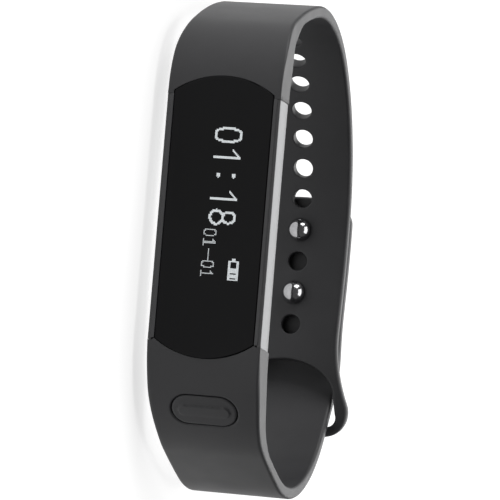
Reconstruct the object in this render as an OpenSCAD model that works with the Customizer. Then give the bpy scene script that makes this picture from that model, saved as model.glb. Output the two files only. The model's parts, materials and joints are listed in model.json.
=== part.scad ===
// Fitness tracker band: a slim tracker core between two soft straps, closed into a loop by a stud clasp.
// The loop lies on its side edge. +Z is the wrist axis, and the display faces -Y with its text upright.
// Lengths are in millimetres and angles in degrees.

/* [Core] */
// Width of the tracker core, along the wrist axis
core_w = 16.8; // [16.7:0.1:17.2]
// Thickness of the core at the middle of its curved back
core_mid_t = 6.3; // [6.2:0.05:6.5]
// Thickness of the core at its two ends
core_end_t = 7.4; // [7.2:0.05:7.5]
// Width of the bevel along the wrist-side edges
bevel_w = 1.2; // [0.9:0.05:1.3]
// Thickness of each metal side trim
trim_t = 0.6; // [0.5:0.05:0.7]
// Wall thickness of the plastic case
wall_t = 0.8; // [0.7:0.05:0.85]

/* [Window] */
// Width of the glass
lens_w = 14.8; // [14.4:0.1:14.8]
// Thickness of the glass
lens_t = 0.9; // [0.7:0.05:0.95]
// How far each end of the glass bows out along the band
lens_bow = 2.4; // [1.8:0.1:2.6]

/* [Strap] */
// Width of the strap at the back of the wrist
strap_w = 15.6; // [15:0.1:15.8]
// Thickness of the strap away from the core
strap_t = 1.8; // [1.6:0.05:1.9]
// Thickness of soft skin over the hidden ends of the case
skin_t = 1.1; // [1.1:0.05:1.2]

/* [Clasp] */
// Number of adjustment holes
hole_count = 11; // [8:1:11]
// Distance between adjustment holes, along the strap
hole_pitch = 5.15; // [5:0.05:5.2]
// Diameter of a free adjustment hole
hole_d = 3.1; // [2.8:0.1:3.4]
// Diameter of a stud's round head
head_d = 3.6; // [3.2:0.1:3.7]
// Diameter of a stud's neck
neck_d = 2.4; // [2:0.1:2.6]

/* [Keeper ring] */
// Outer width of the ring at the end of the strap
ring_w = 21.1; // [20.8:0.1:21.6]
// Width of each leg of the ring
ring_leg_w = 1.85; // [1.6:0.05:1.9]
// Width of the bar that closes the ring
ring_bar_w = 1.6; // [1.4:0.1:1.6]

/* [Key] */
// Length of the soft key, across the band
key_l = 9.6; // [9:0.1:9.8]
// Width of the soft key, along the band
key_w = 4.8; // [4.5:0.1:5]
// Height of the raised bar on the key
key_rise = 0.25; // [0.1:0.05:0.3]

/* [Hidden] */
$fn = 48;

// Courses of the two straps' outer faces from the core to the back: [length, turn] of each stretch
upper_course = [[2.5, 0], [14.9, 67], [14.6, 13.2], [23.1, 52.5],
    [25.5, 42.8], [12.6, 12], [10.8, 0], [12.8, -10]];
lower_course = [[2.2, 0], [21, 63.5], [10.4, 3.4], [31.1, 74], [6, 0]];
// Where the courses begin on the flat front, either side of the display
upper_start_x = 20;
lower_start_x = 10.2;
// Greatest distance between two points on a course
course_step = 1.6;

// Ends of the core that show between the straps: at the front face and at the back
core_top_x = [-22.1, -21.9];
core_bottom_x = [14.8, 15.7];
// Lower ends of the metal trims, where ears of the lower strap begin
trim_bottom_x = [13.4, 14.3];
// Ends of the glass's straight sides
lens_x = [-22.6, 13.1];
// Plane where the two case shells meet, and the gasket between them
split_y = 3.8;
gasket_t = 0.2;
// Hidden lower end of the case: how far it runs along the lower course
case_tail_s = 16.1;
// Hidden upper end of the case
case_top_x = -24.6;
lens_glue_t = 0.2;
lens_gap = 0.05;
rim_w = 0.35;

// Sleeves thin down from the core's ends to the strap, between these distances along their courses
upper_taper_s = [7.5, 23.5];
lower_taper_s = [13, 26];
lower_sleeve_t = 6.9;
// Heights of the side faces above the bevel, at the middle and the ends of the core; along the sleeves
// they thin down to the strap between these distances
side_t = [4.75, 5.1];
upper_side_s = [4, 27];
lower_side_s = [5, 28];
// Steepest part of a bevel that runs out, and how far a bevel's cutter reaches past the faces
bevel_run_out = 0.6;
bevel_reach = 0.3;
// Where the front of the band narrows from the core to the strap: start, a point on the way, and end, on
// both sides of the display; that point's share of the narrowing; and where the front part ends
upper_narrow_x = [-27, -31.5, -34.5];
lower_narrow_x = [18, 23.5, 28];
narrow_share = 0.2;
front_part_y = 20;

// Tail: where it starts and ends along the upper course, and the air between the layers
tail_start_s = 97;
tail_tip_s = 78.7;
layer_gap = 0.05;
tail_tip_r = 12.5;
// Bridge from the lower strap through the ring to the tail: steps, and handles as shares of its chord
bridge_n = 14;
bridge_grip = [0.6, 0.45];
// The lower strap and the tail meet at this plane
tail_cut_x = 14;
last_hole_s = 99.5;
// Adjustment holes that hold the studs, counted from the core
stud_holes = [8, 10];
stud_clearance = 0.05;
plate_t = 0.5;
plate_w = 5;
plate_margin = 2.6;
head_lift = 0.45;
// Height of the neck's end, half way into the plate
neck_top = 2 * strap_t + layer_gap - plate_t / 2;

// Keeper ring: start of the flare, where the ring ends, its corners and the angle at which the flare meets
// them, and the opening's arch and corners
flare_x = 10;
ring_end_x = 26.3;
ring_corner_r = 3.8;
ring_corner_a = 114;
arch_x = 14.7;
arch_h = 5.6;
arch_w = 16.1;
opening_corner_r = 1.4;
opening_corner_a = 115;

// Key: where it lies along the lower course, and its stack of depths below the strap's face
key_s = 13.6;
key_gap = 0.3;
key_t = 0.8;
pill_l = 7.8;
pill_w = 2;
plunger_d = 1.6;
plunger_depth = [0.85, 2.75];
switch_depth = 3.35;
switch_bore_depth = 3.1;
switch_w = [2.4, 4];
run_clearance = 0.05;
flex_t = 0.15;

// Display stack, from the glass inwards
panel = [30, 1.2, 11.5];
panel_x = -20;
panel_y = lens_t + lens_glue_t + 0.05;
frame_y = panel_y + panel[1];
frame_t = 0.4;
board_y = frame_y + frame_t;
board_t = 0.5;
board_x = [-20.9, 13.9];
board_w = 12.8;
pad_t = 0.1;
battery = [21, 1.9, 11];
battery_x = -15.5;
battery_y = board_y + board_t + pad_t;
cavity_x = [-21.1, 14.2];
front_wall_y = [lens_t + lens_glue_t, 1.7];

// Vibration motor
motor_d = 7;
motor_h = 2.1;
motor_x = 9.8;
motor_y = 3.6;
motor_skin = 0.2;
shaft_d = 0.8;
rotor_h = 1.2;

// Plug tongue under the upper strap
tongue_x = [-30.4, -21.4];
tongue_y = [4, 6.2];
tongue_w = 12;
contact_z = [-3.5, -1, 1, 3.5];
contact_x = [-30, -25];
contact_w = 1;
contact_t = 0.1;

trim_w = core_w / 2 - trim_t;
inner_w = core_w - 2 * trim_t - 2 * wall_t;
hidden_w = core_w - 2 * skin_t;

// Unit vector to the left of a heading: towards the wrist on every course
function left(h) = [-sin(h), cos(h)];

// Straight distance between the ends of an arc of length d that turns by a
function chord(d, a) = a == 0 ? d : d * sin(a / 2) / (a * PI / 360);

// A spot is [point, heading]; advance moves it along an arc
function advance(spot, d, a) =
    [spot[0] + chord(d, a) * [cos(spot[1] + a / 2), sin(spot[1] + a / 2)], spot[1] + a];

// The spot at distance s along a course
function travel(spot, course, s, i = 0) =
    let (d = course[i][0], a = course[i][1])
    s <= d || i == len(course) - 1
        ? advance(spot, s, a * s / d)
        : travel(advance(spot, d, a), course, s - d, i + 1);

// Spots on the straps' outer faces; the upper course is walked as a mirror image and flipped back
function upper_spot(s) =
    let (way = travel([[upper_start_x, 0], 0], upper_course, s))
    [[-way[0][0], way[0][1]], 360 - way[1]];
function lower_spot(s) = travel([[lower_start_x, 0], 0], lower_course, s);

function total(course) = [for (c = course) c[0]] * [for (c = course) 1];
function samples(s0, s1) =
    let (n = ceil((s1 - s0) / course_step))
    [for (i = [0:n]) s0 + (s1 - s0) * i / n];

// The point at a depth below a spot on the outer face
function inset(spot, depth) = spot[0] + depth * left(spot[1]);

// Closed outline between two depths; each depth is one number or a list with one number per spot
function depth_at(depth, i) = is_list(depth) ? depth[i] : depth;
function band(spots, near, far) = concat(
    [for (i = [0:len(spots) - 1]) inset(spots[i], depth_at(near, i))],
    [for (i = [len(spots) - 1:-1:0]) inset(spots[i], depth_at(far, i))]);

// Thickness of a sleeve that thins from end_t to the strap's thickness
function sleeve_t(s, end_t, taper) =
    s < taper[0] ? end_t
    : s > taper[1] ? strap_t
    : strap_t + (end_t - strap_t) * (1 + cos(180 * (s - taper[0]) / (taper[1] - taper[0]))) / 2;

// Smooth curve from spot a to spot b, without its two end spots
function bridge(a, b) =
    let (k = norm(b[0] - a[0]) * bridge_grip,
         c1 = a[0] + k[0] * [cos(a[1]), sin(a[1])],
         c2 = b[0] - k[1] * [cos(b[1]), sin(b[1])])
    [for (i = [1:bridge_n - 1])
        let (u = i / bridge_n, v = 1 - u,
             p = v * v * v * a[0] + 3 * v * v * u * c1 + 3 * v * u * u * c2 + u * u * u * b[0],
             d = v * v * (c1 - a[0]) + 2 * v * u * (c2 - c1) + u * u * (b[0] - c2))
        [p, atan2(d[1], d[0])]];

upper_len = total(upper_course);
lower_len = total(lower_course);
upper_s = samples(0, upper_len);
lower_s = samples(0, lower_len);
upper_spots = [for (s = upper_s) upper_spot(s)];
tail_spots = [for (s = [for (t = samples(-tail_start_s, -tail_tip_s)) -t])
    let (spot = upper_spot(s)) [inset(spot, -layer_gap - strap_t), spot[1]]];
lower_chain = [for (s = lower_s) lower_spot(s)];
lower_spots = concat(lower_chain, bridge(lower_chain[len(lower_chain) - 1], tail_spots[0]), tail_spots);
lower_far = [for (i = [0:len(lower_spots) - 1])
    i < len(lower_s) ? sleeve_t(lower_s[i], lower_sleeve_t, lower_taper_s) : strap_t];
upper_far = [for (s = upper_s) sleeve_t(s, core_end_t, upper_taper_s)];

// The loop's extents, which place the origin under the middle of its box
left_x = min([for (q = upper_spots) q[0][0]]);
right_x = max([for (q = lower_spots) q[0][0]]);
back_y = max([for (q = tail_spots) q[0][1]]);
centre = [(left_x + right_x) / 2, back_y / 2];

function hole_spot(i) = upper_spot(last_hole_s - (hole_count - i) * hole_pitch);
function arc_points(c, r, a0, a1, n) =
    [for (i = [0:n])
        let (a = a0 + (a1 - a0) * i / n)
        c + r * [cos(a), sin(a)]];

module place() {
    translate([-centre[0], -centre[1], ring_w / 2]) children();
}

// Extrusion of an XY outline, centred across the band
module across(outline, w) {
    translate([0, 0, -w / 2]) linear_extrude(w) polygon(outline);
}

module slab(x, y, w) {
    translate([x[0], y[0], -w / 2]) cube([x[1] - x[0], y[1] - y[0], w]);
}

// Puts +Z of the children along the inward direction of a spot, with +X across the band
module inward(spot, depth = 0) {
    p = inset(spot, depth);
    translate([p[0], p[1], 0]) rotate([0, 0, spot[1]]) rotate([-90, 0, 0]) rotate([0, 0, 90]) children();
}

module stadium(l, w, h) {
    linear_extrude(h) union() {
        square([l - w, w], center = true);
        for (side = [-1, 1]) translate([side * (l - w) / 2, 0]) circle(d = w);
    }
}

// Middle of the core and how far its ends lie from it
core_mid_x = (core_top_x[1] + core_bottom_x[1]) / 2;
core_half_l = (core_bottom_x[1] - core_top_x[1]) / 2;
function arched(ends, u) = ends[0] + (ends[1] - ends[0]) * u * u;

// Side outline of the part of the core that shows between the straps
module core_block(w) {
    back = [for (i = [0:16])
        let (u = 1 - i / 8)
        [core_mid_x + core_half_l * u, arched([core_mid_t, core_end_t], u)]];
    across(concat([[core_top_x[0], 0], [core_bottom_x[0], 0]], back), w);
}

// Cutters for the bevels along both wrist-side edges. The spots run towards +X; near holds the heights of the
// side face and far the depths of the wrist-side face. Each section is a triangle outside the bevel.
module bevels(spots, near, far) {
    function corner(i, run, z) = let (p = inset(spots[i], near[i] + run)) [p[0], p[1], z];
    r = bevel_reach;
    top = core_w / 2 + r * bevel_w;
    low = top - (1 + 2 * r) * bevel_w;
    points = [for (i = [0:len(spots) - 1])
        let (k = max(far[i] - near[i], bevel_run_out))
        each [corner(i, -r * k, top), corner(i, (1 + r) * k, top), corner(i, (1 + r) * k, low)]];
    last = len(points) - 3;
    sides = [for (i = [0:3:last - 3]) for (j = [0:2])
        let (a = i + j, b = i + (j + 1) % 3)
        each [[a, b, b + 3], [a, b + 3, a + 3]]];
    for (side = [0, 1]) mirror([0, 0, side])
        polyhedron(points, concat([[2, 1, 0], [last, last + 1, last + 2]], sides));
}

module core_bevels() {
    n = 12;
    u = [for (i = [-n - 1:n + 1]) i / n];
    bevels([for (v = u) [[core_mid_x + core_half_l * v, 0], 0]],
        [for (v = u) arched(side_t, v)],
        [for (v = u) arched([core_mid_t, core_end_t], v)]);
}

module upper_bevels() {
    s = [for (t = samples(-upper_side_s[1], 0)) -t];
    bevels([for (d = s) upper_spot(d)],
        [for (d = s) sleeve_t(d, side_t[1], upper_side_s)],
        [for (d = s) sleeve_t(d, core_end_t, upper_taper_s)]);
}

module lower_bevels() {
    s = samples(0, lower_side_s[1]);
    bevels([for (d = s) lower_spot(d)],
        [for (d = s) sleeve_t(d, side_t[1], lower_side_s)],
        [for (d = s) sleeve_t(d, lower_sleeve_t, lower_taper_s)]);
}

// Where a slanting end cut lies at a depth behind the front face
function cut_x(ends, y) = ends[0] + (ends[1] - ends[0]) * y / core_end_t;

// Everything between the two end cuts of the core, which the straps leave free
module core_zone() {
    near = -1;
    far = core_end_t + 2;
    across([[cut_x(core_top_x, near), near], [cut_x(core_bottom_x, near), near],
        [cut_x(core_bottom_x, far), far], [cut_x(core_top_x, far), far]], core_w + 1);
}

// Lip of the lower strap that fills the corners below the glass, between the trims
module lip() {
    slab([lens_x[1], core_bottom_x[0] + 1], [-1, front_wall_y[0]], 2 * trim_w);
}

// Ears of the lower strap beside the case, below the trims
module ears() {
    near = -1;
    far = core_end_t + 1;
    for (side = [-1, 1]) translate([0, 0, side * (trim_w + trim_t)])
        across([[cut_x(trim_bottom_x, near), near], [core_bottom_x[1] + 1, near],
            [core_bottom_x[1] + 1, far], [cut_x(trim_bottom_x, far), far]], 2 * trim_t);
}

// Outline of the glass, grown by g
module lens_shape(h, g = 0) {
    half = lens_w / 2;
    r = (half * half + lens_bow * lens_bow) / (2 * lens_bow);
    a = asin(half / r);
    top_c = [lens_x[0] - lens_bow + r, 0];
    bottom_c = [lens_x[1] + lens_bow - r, 0];
    outline = concat(
        arc_points(bottom_c, r + g, -a, a, 12),
        arc_points(top_c, r + g, 180 - a, 180 + a, 12));
    rotate([-90, 0, 0]) linear_extrude(h) intersection() {
        polygon([for (p = outline) [p[0], p[1]]]);
        square([100, lens_w + 2 * g], center = true);
    }
}

// Outside of the case: the block between the trims and the ends that the straps cover
module case_outer() {
    difference() {
        core_block(core_w - 2 * trim_t);
        lip();
        core_bevels();
    }
    tail = [for (s = samples(1, case_tail_s)) lower_spot(s)];
    across(band(tail, skin_t, core_end_t - 2 * skin_t), hidden_w);
    slab([case_top_x, 0], [skin_t, core_end_t - skin_t], hidden_w);
}

module case_cavity() {
    intersection() {
        slab(cavity_x, [front_wall_y[1], core_end_t], inner_w);
        translate([0, -wall_t, 0]) core_block(inner_w);
    }
    tail = [for (s = samples(2, case_tail_s - wall_t)) lower_spot(s)];
    across(band(tail, skin_t + wall_t, core_end_t - 2 * skin_t - wall_t), hidden_w - 2 * wall_t);
}

// Case walls with the glass seat, the display opening, the plug slot and the key's hole
module case_walls() {
    difference() {
        case_outer();
        case_cavity();
        slab([-26, 18], [-1, front_wall_y[0]], 2 * (trim_w - rim_w));
        slab([panel_x - 0.1, panel_x + panel[0] + 0.1], [0, 2], panel[2] + 0.2);
        slab([tongue_x[0], tongue_x[1] + 1], tongue_y, tongue_w);
        inward(lower_spot(key_s)) cylinder(d = plunger_d + 2 * run_clearance, h = switch_bore_depth);
    }
}

module case_slice(y0, y1) {
    intersection() {
        case_walls();
        slab([-50, 50], [y0, y1], 2 * core_w);
    }
}

// Narrowing of the band from the core's width to the strap's
module width_profile() {
    c = core_w / 2;
    s = strap_w / 2;
    w = [c, c + (s - c) * narrow_share, s];
    half = concat([[-60, s]], [for (i = [2:-1:0]) [upper_narrow_x[i], w[i]]],
        [for (i = [0:2]) [lower_narrow_x[i], w[i]]], [[60, s]]);
    outline = concat(half, [for (i = [len(half) - 1:-1:0]) [half[i][0], -half[i][1]]]);
    translate([0, -1, 0]) from_behind(front_part_y + 1) polygon(outline);
    slab([-60, 60], [front_part_y, 80], strap_w);
}

module lens() {
    color([0.02, 0.02, 0.025]) place() lens_shape(lens_t);
}

module lens_adhesive() {
    color([0.1, 0.1, 0.1]) place() difference() {
        translate([0, lens_t, 0]) lens_shape(lens_glue_t);
        slab([panel_x - 0.6, panel_x + panel[0] + 0.6], [0, 3], panel[2] + 1.2);
    }
}

module case_front() {
    color([0.13, 0.13, 0.14]) place() case_slice(-1, split_y);
}

module case_gasket() {
    color([0.45, 0.1, 0.1]) place() case_slice(split_y, split_y + gasket_t);
}

module case_back() {
    color([0.16, 0.16, 0.17]) place() case_slice(split_y + gasket_t, 2 * core_end_t);
}

module side_trim(side) {
    color([0.72, 0.73, 0.75]) place() difference() {
        translate([0, 0, side * (core_w - trim_t) / 2]) core_block(trim_t);
        core_bevels();
        ears();
    }
}

module display_panel() {
    color([0.05, 0.06, 0.1]) place() slab([panel_x, panel_x + panel[0]], [panel_y, frame_y], panel[2]);
}

module display_frame() {
    color([0.85, 0.85, 0.82]) place() difference() {
        slab([panel_x - 0.8, panel_x + panel[0] + 0.2], [frame_y, board_y], board_w);
        slab([panel_x + 2, panel_x + panel[0] - 2], [0, 9], panel[2] - 3);
    }
}

module display_flex() {
    x = panel_x + panel[0];
    y = panel_y + panel[1] / 2;
    outline = [[x, y], [x + 0.9, y], [x + 0.9, board_y], [x + 0.9 - flex_t, board_y],
        [x + 0.9 - flex_t, y + flex_t], [x, y + flex_t]];
    color([0.75, 0.45, 0.1]) place() across(outline, 8);
}

module main_board() {
    color([0.05, 0.3, 0.14]) place() slab(board_x, [board_y, board_y + board_t], board_w);
}

// Integrated circuits behind the board's upper end
module board_chips() {
    y = board_y + board_t;
    color([0.08, 0.08, 0.09]) place() {
        translate([-20.4, y, 1.8]) cube([4, 0.85, 4]);
        translate([-20.4, y, -5.8]) cube([3, 0.75, 2.6]);
        translate([-20.2, y, -2.6]) cube([2, 0.6, 1.6]);
    }
}

module motion_sensor() {
    color([0.3, 0.3, 0.32]) place() translate([-20, board_y + board_t, -0.6]) cube([2, 0.95, 2]);
}

module antenna() {
    color([0.9, 0.88, 0.8]) place() slab([11.6, 13.6], [board_y - 0.9, board_y], 5.2);
}

module battery_pad() {
    y = board_y + board_t;
    color([0.9, 0.9, 0.5]) place()
        slab([battery_x + 1, battery_x + battery[0] - 1], [y, y + pad_t], battery[2] - 2);
}

module battery_cell() {
    color([0.75, 0.76, 0.78]) place()
        slab([battery_x, battery_x + battery[0]], [battery_y, battery_y + battery[1]], battery[2]);
}

// Two nickel tabs from the cell's end down to the board
module battery_tabs() {
    y = board_y + board_t;
    color([0.8, 0.78, 0.7]) place() for (z = [-3, 3]) translate([0, 0, z])
        across([[battery_x, y + 0.9], [battery_x - 0.7, y + 0.9], [battery_x - 0.7, y],
            [battery_x - 0.55, y], [battery_x - 0.55, y + 0.75], [battery_x, y + 0.75]], 1.4);
}

module motor_axis(y) {
    translate([motor_x, y, 0]) rotate([-90, 0, 0]) children();
}

module motor_case() {
    color([0.78, 0.78, 0.8]) place() difference() {
        motor_axis(motor_y) cylinder(d = motor_d, h = motor_h);
        motor_axis(motor_y + motor_skin)
            cylinder(d = motor_d - 2 * motor_skin, h = motor_h - 2 * motor_skin);
    }
}

module motor_shaft() {
    color([0.6, 0.6, 0.62]) place()
        motor_axis(motor_y + motor_skin) cylinder(d = shaft_d, h = motor_h - 2 * motor_skin);
}

// Off-centre rotor: a hub with a half disc of heavy metal
module motor_rotor() {
    y = motor_y + (motor_h - rotor_h) / 2;
    color([0.55, 0.5, 0.4]) place() difference() {
        union() {
            motor_axis(y) cylinder(d = 2.2, h = rotor_h);
            intersection() {
                motor_axis(y) cylinder(d = motor_d - 1, h = rotor_h);
                translate([motor_x - motor_d / 2, y - 1, 0]) cube([motor_d, rotor_h + 2, motor_d]);
            }
        }
        motor_axis(y - 1) cylinder(d = shaft_d + 2 * run_clearance, h = rotor_h + 2);
    }
}

module key_switch() {
    color([0.85, 0.85, 0.86]) place() inward(lower_spot(key_s)) difference() {
        translate([-switch_w[1] / 2, -switch_w[0] / 2, skin_t + wall_t + run_clearance])
            cube([switch_w[1], switch_w[0], switch_depth - skin_t - wall_t - run_clearance]);
        cylinder(d = plunger_d + 2 * run_clearance, h = switch_bore_depth);
    }
}

module switch_plunger() {
    color([0.1, 0.1, 0.1]) place() inward(lower_spot(key_s)) translate([0, 0, plunger_depth[0]])
        cylinder(d = plunger_d, h = plunger_depth[1] - plunger_depth[0]);
}

// Ribbon from the board to the back of the key switch
module key_flex() {
    spots = [for (s = samples(3.2, key_s + 1)) lower_spot(s)];
    color([0.75, 0.45, 0.1]) place() difference() {
        across(band(spots, switch_depth, switch_depth + flex_t), 3);
        slab([0, board_x[1]], [0, board_y + board_t], 4);
        inward(lower_spot(key_s)) translate([-2.5, -2, 0]) cube([5, 4, switch_depth]);
    }
}

module usb_tongue() {
    color([0.1, 0.1, 0.12]) place() slab(tongue_x, tongue_y, tongue_w);
}

module usb_contacts() {
    color([0.85, 0.68, 0.3]) place() for (z = contact_z) translate([0, 0, z])
        slab(contact_x, [tongue_y[1], tongue_y[1] + contact_t], contact_w);
}

// Plan of the keeper ring, seen from behind: the strap flares out and closes in a straight bar
module ring_plan() {
    w = ring_w / 2;
    s = strap_w / 2;
    centre = [ring_end_x - ring_corner_r, w - ring_corner_r];
    corner = arc_points(centre, ring_corner_r, ring_corner_a, 0, 10);
    flare = [for (i = [0:9])
        let (u = i / 10)
        [flare_x + (corner[0][0] - flare_x) * u, s + (corner[0][1] - s) * u * u]];
    side = concat([[-100, s]], flare, corner);
    outline = concat(side, [for (i = [len(side) - 1:-1:0]) [side[i][0], -side[i][1]]]);
    polygon(outline);
}

module opening_plan() {
    w = ring_w / 2 - ring_leg_w;
    r = opening_corner_r;
    arch = [for (a = [90:10:180]) [arch_x + arch_h * (1 - sin(a)), arch_w / 2 * -cos(a)]];
    corner = arc_points([ring_end_x - ring_bar_w - r, w - r], r, opening_corner_a, 0, 7);
    side = concat(arch, corner);
    polygon(concat(side, [for (i = [len(side) - 1:-1:1]) [side[i][0], -side[i][1]]]));
}

module from_behind(h) {
    rotate([-90, 0, 0]) linear_extrude(h) children();
}

// Strap on the side above the display, with the adjustment holes and the keeper ring
module upper_strap() {
    color([0.13, 0.13, 0.14]) place() difference() {
        intersection() {
            across(band(upper_spots, 0, upper_far), ring_w + 2);
            union() {
                width_profile();
                translate([0, 30, 0]) intersection() {
                    from_behind(40) ring_plan();
                    slab([0, 60], [0, 40], ring_w + 2);
                }
            }
        }
        core_zone();
        upper_bevels();
        case_outer();
        translate([0, -1, 0]) lens_shape(skin_t + 1, lens_gap);
        slab(tongue_x, [tongue_y[0], tongue_y[1] + 2 * contact_t], tongue_w);
        translate([0, 30, 0]) from_behind(40) opening_plan();
        for (i = [1:hole_count])
            if (i != stud_holes[0] && i != stud_holes[1])
                inward(hole_spot(i), -1) cylinder(d = hole_d, h = strap_t + 2);
        for (i = stud_holes)
            stud_axis(i) translate([0, 0, -6]) cylinder(d = head_d + 2 * stud_clearance, h = 12);
    }
}

module lower_band() {
    intersection() {
        across(band(lower_spots, 0, lower_far), core_w);
        width_profile();
    }
}

module tail_zone() {
    slab([-40, tail_cut_x], [40, 80], 40);
}

// Strap on the side below the display, with the opening for the key
module lower_strap() {
    color([0.13, 0.13, 0.14]) place() difference() {
        lower_band();
        tail_zone();
        lower_bevels();
        difference() {
            core_zone();
            lip();
            ears();
        }
        case_outer();
        translate([0, -1, 0]) lens_shape(skin_t + 1, lens_gap);
        inward(lower_spot(key_s), -1) stadium(key_l + 2 * key_gap, key_w + 2 * key_gap, 3);
    }
}

// Soft key: a flap flush with the strap, with a raised bar across its middle
module key_pad() {
    spots = [for (s = samples(key_s - key_w, key_s + key_w)) lower_spot(s)];
    color([0.13, 0.13, 0.14]) place() {
        intersection() {
            across(band(spots, 0, key_t), core_w);
            inward(lower_spot(key_s), -2) stadium(key_l, key_w, 4);
        }
        intersection() {
            across(band(spots, -key_rise, key_t / 2), core_w);
            inward(lower_spot(key_s), -2) stadium(pill_l, pill_w, 4);
        }
    }
}

// Frame of one stud: the origin is on the inner face of the upper strap, +Z points away from the wrist
module stud_axis(i) {
    p = inset(hole_spot(i), strap_t);
    translate([p[0], p[1], 0]) rotate([-90, 0, 0]) children();
}

// End of the lower strap that lies outside the upper strap, held by the two studs
module strap_tail() {
    tip = tail_spots[len(tail_spots) - 1][0];
    color([0.13, 0.13, 0.14]) place() difference() {
        intersection() {
            lower_band();
            tail_zone();
            translate([tip[0] + tail_tip_r, 40, 0]) union() {
                rotate([-90, 0, 0]) cylinder(r = tail_tip_r, h = 40);
                slab([0, 60], [0, 40], 40);
            }
        }
        for (i = stud_holes)
            stud_axis(i) cylinder(d = neck_d, h = 8);
        plate_body();
    }
}

module plate_body() {
    a = hole_spot(stud_holes[0])[0][0];
    b = hole_spot(stud_holes[1])[0][0];
    intersection() {
        across(band(tail_spots, 0, plate_t), core_w);
        translate([(a + b) / 2, 40, 0]) rotate([-90, 0, 0])
            stadium(b - a + 2 * plate_margin, plate_w, 40);
    }
}

module clasp_plate() {
    color([0.6, 0.6, 0.62]) place() plate_body();
}

// Stud with a round head inside the loop and a neck riveted to the plate
module clasp_stud(i) {
    color([0.8, 0.8, 0.82]) place() difference() {
        stud_axis(i) rotate_extrude() intersection() {
            union() {
                translate([0, -head_lift]) circle(d = head_d);
                translate([0, -head_lift]) square([neck_d / 2, neck_top + head_lift]);
            }
            translate([0, -10]) square([10, 20]);
        }
        plate_body();
    }
}

lens();  // display_lens
lens_adhesive();
case_front();
case_gasket();
case_back();
side_trim(1);  // side_trim_right
side_trim(-1);  // side_trim_left
display_panel();
display_frame();
display_flex();
main_board();
board_chips();
motion_sensor();
antenna();
battery_cell();
battery_pad();
battery_tabs();
motor_case();
motor_shaft();
motor_rotor();
key_switch();
switch_plunger();
key_flex();
usb_tongue();
usb_contacts();
upper_strap();
lower_strap();
key_pad();
strap_tail();
clasp_plate();
clasp_stud(stud_holes[0]);  // clasp_stud_upper
clasp_stud(stud_holes[1]);  // clasp_stud_lower
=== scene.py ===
import json
import math

import bmesh
import bpy
import numpy as np
from mathutils import Matrix, Vector
from mathutils.geometry import delaunay_2d_cdt


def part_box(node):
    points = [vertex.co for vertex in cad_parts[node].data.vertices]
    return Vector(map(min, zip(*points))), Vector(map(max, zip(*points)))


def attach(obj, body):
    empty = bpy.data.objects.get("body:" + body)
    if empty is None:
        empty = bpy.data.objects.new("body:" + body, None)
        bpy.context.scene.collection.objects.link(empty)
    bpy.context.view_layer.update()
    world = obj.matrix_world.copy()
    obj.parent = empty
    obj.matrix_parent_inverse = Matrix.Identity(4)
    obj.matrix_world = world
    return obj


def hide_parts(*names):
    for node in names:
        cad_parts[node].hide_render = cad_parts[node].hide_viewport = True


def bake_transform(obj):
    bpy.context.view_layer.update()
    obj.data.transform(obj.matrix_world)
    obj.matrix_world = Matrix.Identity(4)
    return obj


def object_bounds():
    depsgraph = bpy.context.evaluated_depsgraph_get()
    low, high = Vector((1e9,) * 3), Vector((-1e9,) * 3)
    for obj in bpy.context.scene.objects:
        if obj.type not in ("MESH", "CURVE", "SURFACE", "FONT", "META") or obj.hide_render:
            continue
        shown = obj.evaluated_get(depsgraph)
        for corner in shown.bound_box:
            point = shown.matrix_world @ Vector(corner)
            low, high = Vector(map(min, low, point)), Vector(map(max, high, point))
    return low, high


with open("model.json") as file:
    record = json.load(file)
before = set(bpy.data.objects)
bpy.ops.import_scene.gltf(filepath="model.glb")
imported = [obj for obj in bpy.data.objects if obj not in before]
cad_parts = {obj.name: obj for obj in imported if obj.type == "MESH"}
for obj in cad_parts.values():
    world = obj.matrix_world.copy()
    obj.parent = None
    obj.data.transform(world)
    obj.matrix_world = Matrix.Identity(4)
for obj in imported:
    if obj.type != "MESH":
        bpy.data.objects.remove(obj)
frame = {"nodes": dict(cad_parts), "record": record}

# The shapes are worked out in millimetres in a profile frame: X runs along the display from its first
# digit towards the key, Y from the front face towards the wrist, and Z across the band from its middle.
MM = 0.001
CAD_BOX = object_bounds()
WINDOW_TOP_X = -25.0
ORIGIN = np.array((
    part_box("display_lens")[0].x - WINDOW_TOP_X * MM,
    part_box("display_lens")[0].y,
    (CAD_BOX[0].z + CAD_BOX[1].z) / 2))

# Band: courses of the outer faces as (length, turn in degrees), and where they start on the front
UPPER_COURSE = (
    (2.5, 0), (14.9, 67), (14.6, 13.2), (23.1, 52.5), (25.5, 42.8), (12.6, 12), (10.8, 0), (12.8, -10))
LOWER_COURSE = ((2.2, 0), (21, 63.5), (10.4, 3.4), (31.1, 74), (6, 0))
UPPER_START_X = -20.0
LOWER_START_X = 10.2
# How far the tail's bridge through the ring keeps the heading of each of its ends, as shares of its length
BRIDGE_GRIP = (0.6, 0.45)
# The tail runs back along the upper strap's face between these distances, a layer outside it
TAIL_S = (97.0, 78.7)
TAIL_TIP = 4.2
LAYER_GAP = 0.05
# The stretch at the start of a course in which its x still moves steadily away from the core
FRONT_S = 6.0
STRAP_T = 1.8
# Thickness of the sleeves beside the core and along their sides, and where they thin down to the strap
CORE_END_T = 7.4
LOWER_SLEEVE_T = 6.9
UPPER_TAPER_S = (7.5, 23.5)
LOWER_TAPER_S = (13.0, 26.0)
SIDE_T = (4.75, 5.1)
UPPER_SIDE_S = (4.0, 27.0)
LOWER_SIDE_S = (5.0, 28.0)
BEVEL_W = 1.2
BEVEL_RUN_OUT = 0.6
CORE_HALF_W = 8.4
STRAP_HALF_W = 7.8
# Distances along the courses between which the band narrows from the core to the strap
UPPER_NARROW_S = (8.5, 18.5)
LOWER_NARROW_S = (9.5, 21.0)
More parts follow.
